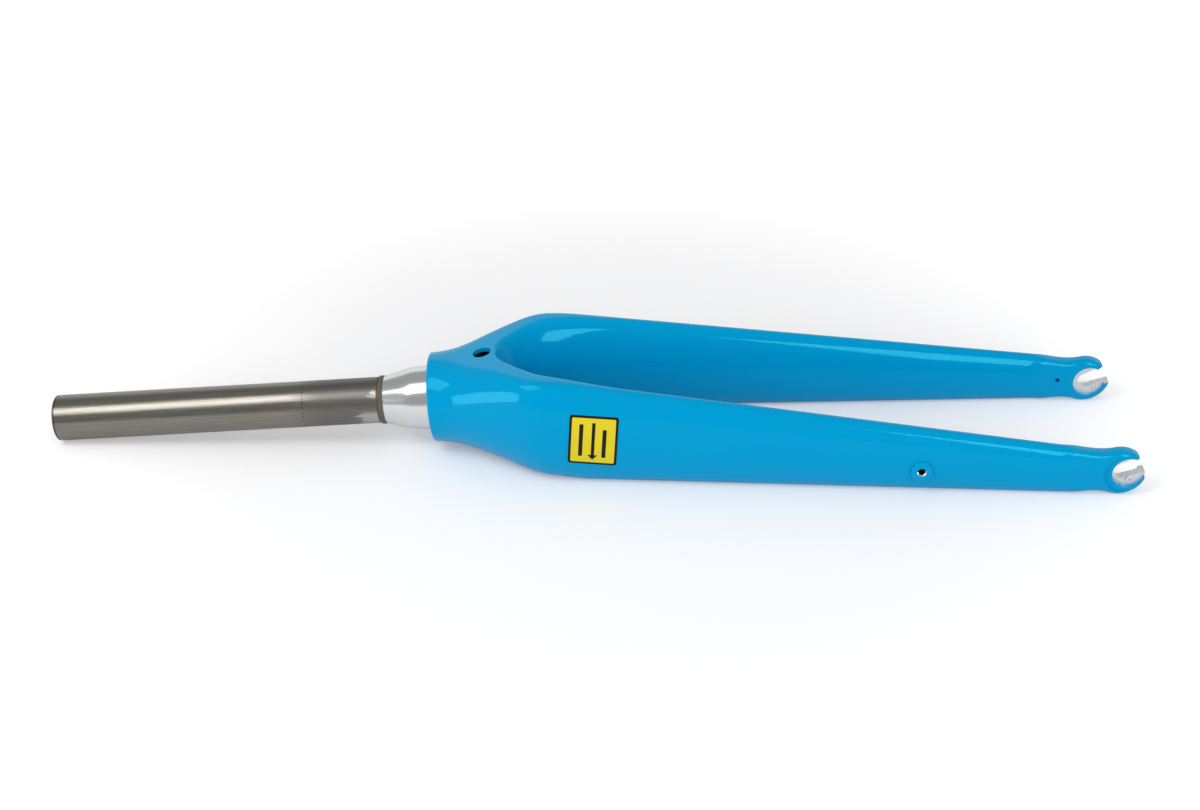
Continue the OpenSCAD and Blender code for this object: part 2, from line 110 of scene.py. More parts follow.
BOSS_FLANGE_H = 1.5
BOSS_SEAT = 0.6
BOSS_SHANK_R = 4.2
BOSS_SHANK_L = 7.0
BOSS_CORE_R = 2.1
BOSS_ROUND = 1.0
BOSS_MOUTH = 0.6
BOSS_BARE_RIM = 0.5
LABEL_W = 29.0
LABEL_H = 33.5
LABEL_X = 100.7
LABEL_Z = 1.0
LABEL_GAP = 0.02
LABEL_T = 0.15
LABEL_ROUND = 1.6
MARK_X = -79.0
END_CHAMFER = 0.6
END_CORNER_X = 0.25
END_CORNER_DROP = 0.18
MOUTH_CHAMFER = 0.3
SHADING_FROM = 1.0
RING_ROUND = 0.3
RING_CORNER = 0.09
GAP = 0.1
OVERRUN = 1.0

AXLE_X = sqrt(AXLE_TO_CROWN ** 2 - RAKE ** 2)
NECK_X = AXLE_X - NECK_LENGTH
BLADE_RUN = AXLE_X - SHOULDER_X
REST_RUN = STEERER_LENGTH + AXLE_X
REST_DROP = RAKE - STEERER_R
REST_TILT = atan(REST_DROP / REST_RUN) + asin(LOBE_R / hypot(REST_RUN, REST_DROP))
REST_LIFT = STEERER_R * cos(REST_TILT) + STEERER_LENGTH * sin(REST_TILT)
REST_LOW = -STEERER_LENGTH * cos(REST_TILT) - (STEERER_R - END_CHAMFER) * sin(REST_TILT)
REST_HIGH = AXLE_X * cos(REST_TILT) + RAKE * sin(REST_TILT) + LOBE_R
REST_SHIFT = -(REST_LOW + REST_HIGH) / 2
LAID_DOWN = (Matrix.Scale(MM, 4) @ Matrix.Translation((REST_SHIFT, 0, REST_LIFT))
             @ Matrix.Rotation(-REST_TILT, 4, "Y"))


# Outlines of the crown, the legs and the dropouts.

def mix(a, b, t):
    return a + (b - a) * t


def limit(v, low, high):
    return min(max(v, low), high)


def eased(t, e):
    """A ramp from 0 to 1 that is straight in the middle and eased over a share e at each end."""
    if t <= 0:
        return 0.0
    if t >= 1:
        return 1.0
    if t < e:
        return t * t / (2 * e * (1 - e))
    if t > 1 - e:
        return 1 - (1 - t) ** 2 / (2 * e * (1 - e))
    return (t - e / 2) / (1 - e)


def spread(a, b, steps):
    """Even steps from a to b, without a itself."""
    return [mix(a, b, i / steps) for i in range(1, steps + 1)]


def rounding(d, n):
    """Height of a superellipse's quarter over the share d of its half width, from its edge."""
    return max(0.0, 1 - (1 - limit(d, 0, 1)) ** n) ** (1 / n)


def along_blade(x):
    return (x - SHOULDER_X) / BLADE_RUN


def blade_y(x):
    return mix(*BLADE_Y, along_blade(x))


def blade_a(x):
    return mix(*BLADE_THICK, along_blade(x)) / 2


def blade_b(x):
    return mix(*BLADE_DEPTH, along_blade(x)) / 2


def ground_z(x):
    return -STEERER_R - (x + STEERER_LENGTH) * tan(REST_TILT)


INNER_SLOPE = (BLADE_Y[1] - BLADE_Y[0] - (BLADE_THICK[1] - BLADE_THICK[0]) / 2) / BLADE_RUN
INNER_START = blade_y(0) - blade_a(0)


def straight_y(x, inset):
    return INNER_START + INNER_SLOPE * x + inset * hypot(1, INNER_SLOPE)


def arch_share(x, inset):
    return max(0.0, 1 - (x - ARCH_X + inset) / (ARCH_LENGTH + inset))


def inner_y(x, inset):
    share = max(0.0, 1 - arch_share(x, inset) ** ARCH_FULLNESS)
    return straight_y(x, inset) * share ** (1 / ARCH_FULLNESS)


def from_arch(x, y, inset):
    """Distance of a point from the wheel arch or from a leg's straight inner face."""
    n = ARCH_FULLNESS
    u = arch_share(x, inset)
    w = straight_y(x, inset)
    f = (u ** n + (y / w) ** n) ** (1 / n)
    slope = hypot(u ** (n - 1) / (ARCH_LENGTH + inset), (y / w) ** (n - 1) / w)
    return (f - 1) * f ** (n - 1) / slope


def widening(x):
    return eased(x / SHOULDER_X, SHOULDER_EASE)


def deepening(x):
    return eased((x - COLLAR_LENGTH) / (DEPTH_END_X - COLLAR_LENGTH), DEPTH_EASE)


def outer_y(x):
    return mix(COLLAR_R, blade_y(x) + blade_a(x), widening(x))


def outer_a(x):
    return mix(COLLAR_R, blade_a(x), widening(x))


def half_depth(x):
    return mix(COLLAR_R, blade_b(x), deepening(x))


def middle_z(x):
    return mix(0, ground_z(x) + blade_b(x), deepening(x))


def fullness(x):
    return mix(2, BLADE_FULLNESS, deepening(x))


def inner_a(x):
    t = eased((x - ARCH_X) / (SHOULDER_X - ARCH_X), ARCH_EASE)
    return mix(ARCH_ROUND, blade_a(x), t)


def outer_face_y(x, z):
    """Height of a leg's outer face over the middle plane."""
    n = fullness(x)
    q = limit(abs(z - middle_z(x)) / half_depth(x), 0, 1)
    return outer_y(x) - outer_a(x) * (1 - (1 - q ** n) ** (1 / n))


def leg_point(x, inset, k, steps):
    """Point k of half the crown's outline, from the inner edge over the rear and the front."""
    side = k if k <= steps else 2 * steps - k
    y0 = inner_y(x, inset)
    y1 = outer_y(x) - inset
    y = mix(y0, y1, (1 - cos(pi * side / steps)) / 2)
    n = fullness(x)
    height = 0.0
    if side != steps and not (side == 0 and y0 > 0):
        height = (rounding((y1 - y) / (outer_a(x) - inset), n)
                  * rounding(from_arch(x, y, inset) / (inner_a(x) - inset), n))
    face = 1 if k <= steps else -1
    return x, y, middle_z(x) + face * (half_depth(x) - inset) * height


def curve(z0, m0, z1, m1, run, t):
    """A cubic from z0 to z1 with the slopes m0 and m1 at the ends of a run."""
    return ((2 * t ** 3 - 3 * t * t + 1) * z0 + (t ** 3 - 2 * t * t + t) * m0 * run
            + (3 * t * t - 2 * t ** 3) * z1 + (t ** 3 - t * t) * m1 * run)


def dropout_edge(x, face):
    angle = REAR_ANGLE if face > 0 else FRONT_ANGLE
    run = AXLE_X - LOBE_R * cos(angle) - NECK_X
    if x >= NECK_X + run:
        return face * sqrt(max(0.0, LOBE_R ** 2 - (x - AXLE_X) ** 2)) - RAKE
    start = middle_z(NECK_X) + face * half_depth(NECK_X)
    end = middle_z(AXLE_X) + face * half_depth(AXLE_X)
    return curve(start, (end - start) / NECK_LENGTH, face * LOBE_R * sin(angle) - RAKE,
                 face / tan(angle), run, (x - NECK_X) / run)


def dropout_point(x, inset, k, steps):
    t = eased((x - NECK_X) / NECK_BLEND, NECK_EASE)
    y_in = mix(blade_y(NECK_X) - blade_a(NECK_X), HUB_HALF - INNER_LIP, t) + inset
    y_out = mix(blade_y(NECK_X) + blade_a(NECK_X), HUB_HALF + PLATE + POCKET_STEP + OUTER_RIM, t)
    rear = dropout_edge(x, 1) - inset
    front = dropout_edge(x, -1) + inset
    c = cos(pi * k / steps)
    height = 0.0 if k % steps == 0 else rounding(1 - abs(c), mix(BLADE_FULLNESS, LOBE_FULLNESS, t))
    face = 1 if k <= steps else -1
    return (x, mix(y_in, y_out - inset, (1 - c) / 2),
            mix(front, rear, (1 + face * height) / 2))


def crown_stations(inset, start, lead, edge, arch):
    """Distances of the outlines: to the arch, over its rounded edge and along it."""
    top = ARCH_X - inset
    edge_round = ARCH_ROUND - inset
    xs = [start] + spread(start, top - edge_round, lead)
    xs += [top - edge_round * (1 - cos(pi / 2 * i / edge)) for i in range(edge - 1, 0, -1)]
    xs += [top]
    xs += [top + (ARCH_LENGTH + inset) * (1 - cos(angle) ** (2 / ARCH_FULLNESS))
           for angle in spread(0, pi / 2, arch)]
    return xs


# Making pieces.

def piece(name, bm, materials, smooth_angle, stands_for):
    """Turns a bmesh in millimetres along the steerer into a finished piece where the fork lies."""
    mesh = bpy.data.meshes.new(name)
    bm.transform(LAID_DOWN)
    bm.to_mesh(mesh)
    bm.free()
    for polygon in mesh.polygons:
        polygon.use_smooth = True
    mesh.set_sharp_from_angle(angle=radians(smooth_angle))
    for material in materials:
        mesh.materials.append(material)
    obj = bpy.data.objects.new(name, mesh)
    bpy.context.scene.collection.objects.link(obj)
    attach(obj, "root")
    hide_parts(*stands_for)
    return obj


def turned(profile, steps=128):
    """A body of revolution about the steerer axis from (x, radius) points."""
    bm = bmesh.new()
    verts = [bm.verts.new((x, 0, r)) for x, r in profile]
    edges = [bm.edges.new((a, b)) for a, b in zip(verts, verts[1:] + verts[:1])]
    bmesh.ops.spin(bm, geom=verts + edges, cent=(0, 0, 0), axis=(1, 0, 0), angle=2 * pi,
                   steps=steps, use_merge=True)
    bmesh.ops.remove_doubles(bm, verts=bm.verts, dist=1e-4)
    bmesh.ops.recalc_face_normals(bm, faces=bm.faces)
    return bm


def rod(radius, low, high, place, steps=96):
    """A cutting cylinder from low to high along the z of a place."""
    bm = bmesh.new()
    bmesh.ops.create_cone(bm, cap_ends=True, segments=steps, radius1=radius, radius2=radius,
                          depth=high - low)
    bmesh.ops.translate(bm, verts=bm.verts, vec=(0, 0, (low + high) / 2))
    bm.transform(place)
    return bm


def outwards(x, y, z):
    """A place whose z points out of the fork's right side."""
    return Matrix.Translation((x, y, z)) @ Matrix.Rotation(-pi / 2, 4, "X")


def mirrored(bm):
    copy = bm.copy()
    bmesh.ops.scale(copy, verts=copy.verts, vec=(1, -1, 1))
    bmesh.ops.reverse_faces(copy, faces=copy.faces)
    return copy


def carve(obj, cutters):
    """Cuts the bodies out of a piece one after another and frees them."""
    helpers = []
    for bm in cutters:
        mesh = bpy.data.meshes.new("cutter")
        bm.to_mesh(mesh)
        bm.free()
        helper = bpy.data.objects.new("cutter", mesh)
        bpy.context.scene.collection.objects.link(helper)
        helpers.append(helper)
        cut = obj.modifiers.new("cut", "BOOLEAN")
        cut.operation = "DIFFERENCE"
        cut.solver = "MANIFOLD"
        cut.object = helper
    bpy.context.view_layer.update()
    graph = bpy.context.evaluated_depsgraph_get()
    carved = bpy.data.meshes.new_from_object(obj.evaluated_get(graph))
    obj.modifiers.clear()
    obj.data = carved
    for helper in helpers:
        bpy.data.objects.remove(helper)


# The painted crown, legs and dropouts.

ACROSS_FACE = 36
PAINTED_CREASE = 32
# How near to a round or a flat machined wall a face's middle has to lie to be bare.
NEAR_ROUND = 0.05
NEAR_FLAT = 0.02


def leg_skin(stations):
    """Half the fork as a grid of points that is then mirrored and closed."""
    columns = 2 * ACROSS_FACE + 1
    bm = bmesh.new()
    bmesh.ops.create_grid(bm, x_segments=columns - 1, y_segments=len(stations) - 1, size=1)
    bm.verts.ensure_lookup_table()
    for number, vert in enumerate(bm.verts):
        row, k = divmod(number, columns)
        x, inset = stations[row]
        point = leg_point if x <= NECK_X else dropout_point
        vert.co = point(x, inset, k, ACROSS_FACE)
    other = mirrored(bm)
    mesh = bpy.data.meshes.new("other side")
    other.to_mesh(mesh)
    other.free()
    bm.from_mesh(mesh)
    bpy.data.meshes.remove(mesh)
    bmesh.ops.remove_doubles(bm, verts=bm.verts, dist=2e-3)
    bmesh.ops.dissolve_degenerate(bm, edges=bm.edges, dist=1e-4)
    rims = [e for e in bm.edges if e.is_boundary]
    bmesh.ops.holes_fill(bm, edges=rims, sides=0)
    bmesh.ops.recalc_face_normals(bm, faces=bm.faces)
    return bm


def outer_stations():
    """Distances of the skin's outlines with their insets, which round the collar's rim."""
    rim = [(RIM_ROUND * (1 - cos(radians(a))), RIM_ROUND * (1 - sin(radians(a))))
           for a in range(0, 90, 15)]
    xs = crown_stations(0, RIM_ROUND, lead=16, edge=14, arch=22)
    xs += spread(xs[-1], NECK_X, 26)
    xs += spread(NECK_X, AXLE_X - LOBE_R * cos(FRONT_ANGLE), 26)
    xs += [AXLE_X - LOBE_R * cos(angle) for angle in spread(FRONT_ANGLE, TIP_ANGLE, 34)]
    return rim + [(x, 0) for x in xs]


def inner_stations():
    """Distances of the hollow's outlines, all at the wall's thickness."""
    xs = crown_stations(SHELL_WALL, SOCKET_DEPTH, lead=3, edge=5, arch=10)
    xs += spread(xs[-1], NECK_X, 8)
    xs += spread(NECK_X, AXLE_X - CAVITY_END, 6)
    return [(x, SHELL_WALL) for x in xs]


def prism(outline, depth):
    """A cutting body: an outline seen from the fork's right side, drawn out by a depth."""
    bm = bmesh.new()
    face = bm.faces.new([bm.verts.new(point) for point in outline])
    grown = bmesh.ops.extrude_face_region(bm, geom=[face])
    top = [v for v in grown["geom"] if isinstance(v, bmesh.types.BMVert)]
    bmesh.ops.translate(bm, verts=top, vec=(0, depth, 0))
    bmesh.ops.recalc_face_normals(bm, faces=bm.faces)
    return bm


def slot_cutter():
    """The open slot for the axle: a round end and two spreading edges."""
    reach = 2 * LOBE_R
    rear = Vector((-sin(SLOT_REAR), cos(SLOT_REAR))) * SLOT_R
    front = Vector((sin(SLOT_FRONT), -cos(SLOT_FRONT))) * SLOT_R
    far_front = front + reach * Vector((cos(SLOT_FRONT), sin(SLOT_FRONT)))
    far_rear = rear + reach * Vector((cos(SLOT_REAR), sin(SLOT_REAR)))
    start = pi / 2 + SLOT_REAR
    end = 3 * pi / 2 + SLOT_FRONT
    arc = [Vector((cos(angle), sin(angle))) * SLOT_R for angle in [start] + spread(start, end, 32)]
    base = HUB_HALF - INNER_LIP - OVERRUN
    outline = [(AXLE_X + p.x, base, p.y - RAKE) for p in arc + [far_front, far_rear]]
    return prism(outline, INNER_LIP + PLATE + POCKET_STEP + OUTER_RIM + 2 * OVERRUN)


def on_slot_wall(dx, dz):
    """Whether a point, seen from the axle, is on the round end or an edge of the slot."""
    rear = dz * cos(SLOT_REAR) - dx * sin(SLOT_REAR)
    front = dx * sin(SLOT_FRONT) - dz * cos(SLOT_FRONT)
    on_end = abs(hypot(dx, dz) - SLOT_R) < NEAR_ROUND
    on_edge = abs(rear - SLOT_R) < NEAR_FLAT or abs(front - SLOT_R) < NEAR_FLAT
    return on_end or (dx > 0 and on_edge)


def is_machined(at):
    """Whether a point is on a spot-face or on a wall of the slot, which stay bare."""
    dx = at.x - AXLE_X
    dz = at.z + RAKE
    height = abs(at.y) - HUB_HALF
    on_inner = abs(height) < NEAR_FLAT and hypot(dx - SPOT_IN_SHIFT, dz) < SPOT_R
    on_outer = abs(height - PLATE) < NEAR_FLAT and hypot(dx - SPOT_OUT_SHIFT, dz) < SPOT_R
    return on_inner or on_outer or on_slot_wall(dx, dz)


def pocket_cutter():
    """The painted pocket: a round end that runs out over the tip."""
    base = HUB_HALF + PLATE + POCKET_STEP
    centre = AXLE_X + SPOT_IN_SHIFT
    points = [(centre - POCKET_R * sin(angle), POCKET_R * cos(angle))
              for angle in [0] + spread(0, pi, 40)]
    points += [(centre + 2 * LOBE_R, -POCKET_R), (centre + 2 * LOBE_R, POCKET_R)]
    return prism([(x, base, z - RAKE) for x, z in points], OUTER_RIM + OVERRUN)


BOSS_AT = AXLE_X - BOSS_X
BOSS_HEIGHT = ground_z(BOSS_AT) + BOSS_Z
BOSS_Y = outer_face_y(BOSS_AT, BOSS_HEIGHT)


def side_cutters():
    """What is cut into the right side. The left side takes the mirror image."""
    inner_spot = outwards(AXLE_X + SPOT_IN_SHIFT, HUB_HALF, -RAKE)
    outer_spot = outwards(AXLE_X + SPOT_OUT_SHIFT, HUB_HALF + PLATE, -RAKE)
    vent = outwards(AXLE_X - VENT_X, HUB_HALF, VENT_Z - RAKE)
    boss = outwards(BOSS_AT, BOSS_Y, BOSS_HEIGHT)
    return [
        rod(SPOT_R, -OVERRUN - INNER_LIP, 0, inner_spot),
        rod(SPOT_R, 0, POCKET_STEP + OUTER_RIM + OVERRUN, outer_spot),
        pocket_cutter(),
        slot_cutter(),
        rod(VENT_R, -OVERRUN - INNER_LIP, SHELL_WALL - INNER_LIP + OVERRUN, vent, 32),
        rod(BOSS_FLANGE_R + GAP, -BOSS_SEAT - GAP, BOSS_FLANGE_H + OVERRUN, boss, 64),
        rod(BOSS_SHANK_R + GAP, -BOSS_SEAT - SHELL_WALL - OVERRUN, 0, boss, 64),
    ]


def painted_fork(paint, bare):
    """Crown, legs and dropouts under one skin of paint, with the machined faces left bare."""
    obj = piece("painted_fork", leg_skin(outer_stations()), [], PAINTED_CREASE,
                ["crown", "left_blade", "right_blade", "left_dropout", "right_dropout"])
    crown_axis = Matrix.Rotation(pi / 2, 4, "Y")
    brake_axis = Matrix.Translation((BRAKE_HOLE_X, 0, 0))
    cutters = [leg_skin(inner_stations()),
               rod(LOWER_R + GAP, -OVERRUN, SOCKET_DEPTH + OVERRUN, crown_axis),
               rod(BRAKE_NUT_HOLE_R, 0, 2 * COLLAR_R, brake_axis, 64),
               rod(BRAKE_BOLT_HOLE_R, -2 * COLLAR_R, 0, brake_axis, 48)]
    for cutter in side_cutters():
        cutters += [mirrored(cutter), cutter]
    for cutter in cutters:
        cutter.transform(LAID_DOWN)
    carve(obj, cutters)
    mesh = obj.data
    mesh.materials.clear()
    mesh.materials.append(paint)
    mesh.materials.append(bare)
    back = LAID_DOWN.inverted()
    for polygon in mesh.polygons:
        polygon.material_index = 1 if is_machined(back @ polygon.center) else 0
        polygon.use_smooth = True
    mesh.set_sharp_from_angle(angle=radians(PAINTED_CREASE))
    return obj


# The steerer and the small pieces.

def steerer_tube(material):
    """The point 1 mm from its open end keeps the long face after it evenly shaded."""
    end = -STEERER_LENGTH
    profile = [(end, STEERER_BORE_R + MOUTH_CHAMFER), (end, STEERER_R - END_CHAMFER),
               (end + END_CORNER_X, STEERER_R - END_CORNER_DROP), (end + END_CHAMFER, STEERER_R),
               (end + SHADING_FROM, STEERER_R), (TUBE_END, STEERER_R), (TUBE_END, BOND_BORE_R),
               (BOND_BORE_FROM, BOND_BORE_R), (BOND_BORE_FROM, STEERER_BORE_R),
               (end + MOUTH_CHAMFER, STEERER_BORE_R)]
    return piece("steel_steerer_tube", turned(profile), [material], 30,
                 ["steerer_tube"])


def joint_ring(material):
    """A ring of squeezed-out adhesive with both its edges rounded alike."""
    edge = [(0, BOND_BORE_R), (0, RING_R - RING_ROUND), (RING_CORNER, RING_R - RING_CORNER),
            (RING_ROUND, RING_R)]
    profile = [(TUBE_END + x, r) for x, r in edge]
    profile += [(LOWER_TOP - x, r) for x, r in reversed(edge)]
    return piece("adhesive_ring", turned(profile), [material], 50, ["joint_ring"])


def flare_radius(x):
    """A cone that runs softly into the race seat, which rises a little up to the crown."""
    cone = mix(RING_R - RING_ROUND, LOWER_R, (x - LOWER_TOP) / (FLARE_END - LOWER_TOP))
    seat = mix(RACE_SEAT_R, LOWER_R, x / FLARE_END)
    return (cone + seat - hypot(cone - seat, FLARE_SOFTNESS)) / 2


def lower_steerer(material):
    """One turned piece: the spigot in the tube, the flare, the race seat and the crown's shank."""
    end = LOWER_TOP - SPIGOT_LENGTH
    spigot_bore_r = SPIGOT_R - LOWER_WALL
    shank_bore_r = LOWER_R - LOWER_WALL
    profile = [(end, spigot_bore_r), (end, SPIGOT_R - END_CHAMFER), (end + END_CHAMFER, SPIGOT_R),
               (LOWER_TOP, SPIGOT_R)]
    profile += [(x, flare_radius(x)) for x in [LOWER_TOP] + spread(LOWER_TOP, 0, 29)]
    profile += [(0, LOWER_R), (SOCKET_DEPTH, LOWER_R), (SOCKET_DEPTH, shank_bore_r),
                (FLARE_END, shank_bore_r), (LOWER_TOP, spigot_bore_r)]
    return piece("turned_lower_steerer", turned(profile, 160), [material], 20,
                 ["lower_steerer"])


def threaded_boss(name, node, side, material, bare):
    """A rounded flange on the leg, a shank inside it and a bare, chamfered mouth."""
    low = -BOSS_SEAT - BOSS_SHANK_L
    top = BOSS_FLANGE_H
    profile = [(low, BOSS_CORE_R), (low, BOSS_SHANK_R), (-BOSS_SEAT, BOSS_SHANK_R),
               (-BOSS_SEAT, BOSS_FLANGE_R), (top - BOSS_ROUND, BOSS_FLANGE_R)]
    profile += [(top - BOSS_ROUND + BOSS_ROUND * sin(angle),
                 BOSS_FLANGE_R - BOSS_ROUND + BOSS_ROUND * cos(angle))
                for angle in spread(0, pi / 2, 8)]
    profile += [(top, BOSS_CORE_R + BOSS_MOUTH), (top - BOSS_MOUTH, BOSS_CORE_R)]
    bm = turned(profile, 64)
    for face in bm.faces:
        middle = face.calc_center_median()
        is_bare = hypot(middle.y, middle.z) < BOSS_CORE_R + BOSS_BARE_RIM
        face.material_index = 1 if is_bare else 0
    bm.transform(outwards(BOSS_AT, BOSS_Y, BOSS_HEIGHT) @ Matrix.Rotation(-pi / 2, 4, "Y"))
    if side < 0:
        other = mirrored(bm)
        bm.free()
        bm = other
    return piece(name, bm, [material, bare], 30, [node])


def direction_label(material):
    """A thin sheet with rounded corners that follows the left leg's outer face."""
    turn = atan((middle_z(LABEL_X + 1) - middle_z(LABEL_X - 1)) / 2)
    bm = bmesh.new()
    bmesh.ops.create_grid(bm, x_segments=48, y_segments=56, size=1)
    half = -min(v.co.x for v in bm.verts)
    layer = bm.loops.layers.uv.new("label")
    corner_u = LABEL_W / 2 - LABEL_ROUND
    corner_v = LABEL_H / 2 - LABEL_ROUND
    flat = {}
    for vert in bm.verts:
        u = vert.co.x / half * LABEL_W / 2
        v = vert.co.y / half * LABEL_H / 2
        du = abs(u) - corner_u
        dv = abs(v) - corner_v
        if du > 0 and dv > 0:
            pull = max(du, dv) / hypot(du, dv)
            u = (corner_u + du * pull) * (1 if u > 0 else -1)
            v = (corner_v + dv * pull) * (1 if v > 0 else -1)
        flat[vert] = (u, v)
    for face in bm.faces:
        for loop in face.loops:
            u, v = flat[loop.vert]
            loop[layer].uv = (u / LABEL_W + 0.5, v / LABEL_H + 0.5)
    for vert, (u, v) in flat.items():
        x = LABEL_X + u * cos(turn) - v * sin(turn)
        z = middle_z(LABEL_X) + LABEL_Z + u * sin(turn) + v * cos(turn)
        vert.co = (x, -outer_face_y(x, z) - LABEL_GAP - LABEL_T, z)
    bmesh.ops.recalc_face_normals(bm, faces=bm.faces)
    if sum(f.normal.y for f in bm.faces) > 0:
        bmesh.ops.reverse_faces(bm, faces=bm.faces)
    bmesh.ops.solidify(bm, geom=bm.faces, thickness=LABEL_T)
    bmesh.ops.recalc_face_normals(bm, faces=bm.faces)
    return piece("direction_sticker", bm, [material], 40, ["direction_label"])


# Materials.

class Recipe:
    """Nodes of one finish, with a Principled shader at their end."""

    def __init__(self, name, **settings):
        self.material = bpy.data.materials.new(name)
        self.material.use_nodes = True
        self.tree = self.material.node_tree
        self.shader = self.tree.nodes["Principled BSDF"]
        for socket, setting in settings.items():
            self.shader.inputs[socket.replace("_", " ")].default_value = setting

    def feed(self, socket, value):
        if isinstance(value, bpy.types.NodeSocket):
            self.tree.links.new(value, socket)
        else:
            socket.default_value = value

    def math(self, operation, a, b=0.0):
        made = self.tree.nodes.new("ShaderNodeMath")
        made.operation = operation
        for socket, value in zip(made.inputs, (a, b)):
            self.feed(socket, value)
        return made.outputs[0]

    def times(self, a, b):
        return self.math("MULTIPLY", a, b)

    def length(self, a, b):
        """How long the step (a, b) is."""
        return self.math("SQRT", self.math("ADD", self.times(a, a), self.times(b, b)))

    def step(self, value, low, high):
        """0 below low, 1 above high and smooth between them."""
        made = self.tree.nodes.new("ShaderNodeMapRange")
        made.interpolation_type = "SMOOTHSTEP"
        self.feed(made.inputs["Value"], value)
        made.inputs["From Min"].default_value = low
        made.inputs["From Max"].default_value = high
        return made.outputs["Result"]

    def span(self, value, low, high, soft):
        """1 between low and high, fading over soft on both sides."""
        up = self.step(value, low - soft, low + soft)
        down = self.step(value, high - soft, high + soft)
        return self.math("SUBTRACT", up, down)

    def fork_place(self):
        """The point of the surface in millimetres along the steerer."""
        coordinates = self.tree.nodes.new("ShaderNodeTexCoord")
        mapping = self.tree.nodes.new("ShaderNodeMapping")
        back = Matrix.Rotation(REST_TILT, 3, "Y") @ Vector((-REST_SHIFT, 0, -REST_LIFT))
        mapping.inputs["Location"].default_value = back
        mapping.inputs["Rotation"].default_value = (0, REST_TILT, 0)
        mapping.inputs["Scale"].default_value = (1 / MM,) * 3
        self.tree.links.new(coordinates.outputs["Object"], mapping.inputs["Vector"])
        return mapping.outputs["Vector"]

    def stretched(self, vector, scale):
        mapping = self.tree.nodes.new("ShaderNodeMapping")
        mapping.inputs["Scale"].default_value = scale
        self.tree.links.new(vector, mapping.inputs["Vector"])
        return mapping.outputs["Vector"]

    def parts(self, vector):
        made = self.tree.nodes.new("ShaderNodeSeparateXYZ")
        self.tree.links.new(vector, made.inputs[0])
        return made.outputs

    def joined(self, x, y, z):
        made = self.tree.nodes.new("ShaderNodeCombineXYZ")
        for socket, value in zip(made.inputs, (x, y, z)):
            self.feed(socket, value)
        return made.outputs[0]

    def noise(self, vector, scale, detail=2.0, rough=0.5):
        made = self.tree.nodes.new("ShaderNodeTexNoise")
        self.tree.links.new(vector, made.inputs["Vector"])
        made.inputs["Scale"].default_value = scale
        made.inputs["Detail"].default_value = detail
        made.inputs["Roughness"].default_value = rough
        return made.outputs["Fac"]

    def blend(self, factor, a, b):
        made = self.tree.nodes.new("ShaderNodeMix")
        made.data_type = "RGBA"
        self.feed(made.inputs["Factor"], factor)
        self.feed(made.inputs["A"], a if isinstance(a, bpy.types.NodeSocket) else (*a, 1))
        self.feed(made.inputs["B"], b if isinstance(b, bpy.types.NodeSocket) else (*b, 1))
        return made.outputs["Result"]

    def range(self, value, low, high):
        made = self.tree.nodes.new("ShaderNodeMapRange")
        self.feed(made.inputs["Value"], value)
        made.inputs["To Min"].default_value = low
        made.inputs["To Max"].default_value = high
        return made.outputs["Result"]

    def bump(self, height, distance, strength):
        made = self.tree.nodes.new("ShaderNodeBump")
        made.inputs["Strength"].default_value = strength
        made.inputs["Distance"].default_value = distance
        self.feed(made.inputs["Height"], height)
        return made.outputs["Normal"]

    def set(self, socket, value):
        self.feed(self.shader.inputs[socket], value)


# Tones of the finishes.
PAINT_BLUE = (0.0, 0.335, 0.65)
PAINT_DEEP = (0.0, 0.32, 0.63)
STEEL_DARK = (0.24, 0.228, 0.2)
STEEL_LIGHT = (0.33, 0.315, 0.285)
STEEL_BROWN = (0.26, 0.237, 0.195)
STEEL_SMOOTH = (0.13, 0.13, 0.125)
STEEL_SPECKS = (0.38, 0.36, 0.32)
SCRIBED_MARK = (0.03, 0.03, 0.03)
WIPED_CLEAN = (0.50, 0.49, 0.47)
RUST_BROWN = (0.22, 0.12, 0.05)
CUT_BROWN = (0.09, 0.06, 0.04)
TURNED_DARK = (0.82, 0.83, 0.84)
TURNED_LIGHT = (0.90, 0.905, 0.91)
MACHINED_DARK = (0.78, 0.78, 0.78)
MACHINED_LIGHT = (0.96, 0.96, 0.96)
MACHINED_MARKS = (0.16, 0.15, 0.14)
ADHESIVE_DARK = (0.07, 0.075, 0.062)
ADHESIVE_LIGHT = (0.12, 0.125, 0.11)
VINYL_DEEP = (0.76, 0.61, 0.012)
VINYL_YELLOW = (0.80, 0.65, 0.02)
VINYL_INK = (0.004, 0.004, 0.004)


def gloss_paint():
    """Blue gloss paint with the faint orange peel of a sprayed finish."""
    r = Recipe("gloss blue paint", IOR=1.4, Specular_Tint=(0.12, 1.0, 1.0, 1.0))
    place = r.fork_place()
    tone = r.noise(place, scale=0.02, detail=2.0)
    r.set("Base Color", r.blend(tone, PAINT_BLUE, PAINT_DEEP))
    r.set("Roughness", r.range(r.noise(place, scale=0.4, detail=3.0), 0.04, 0.07))
    peel = r.noise(place, scale=0.35, detail=1.5, rough=0.4)
    r.set("Normal", r.bump(peel, distance=0.0004, strength=0.06))
    return r.material


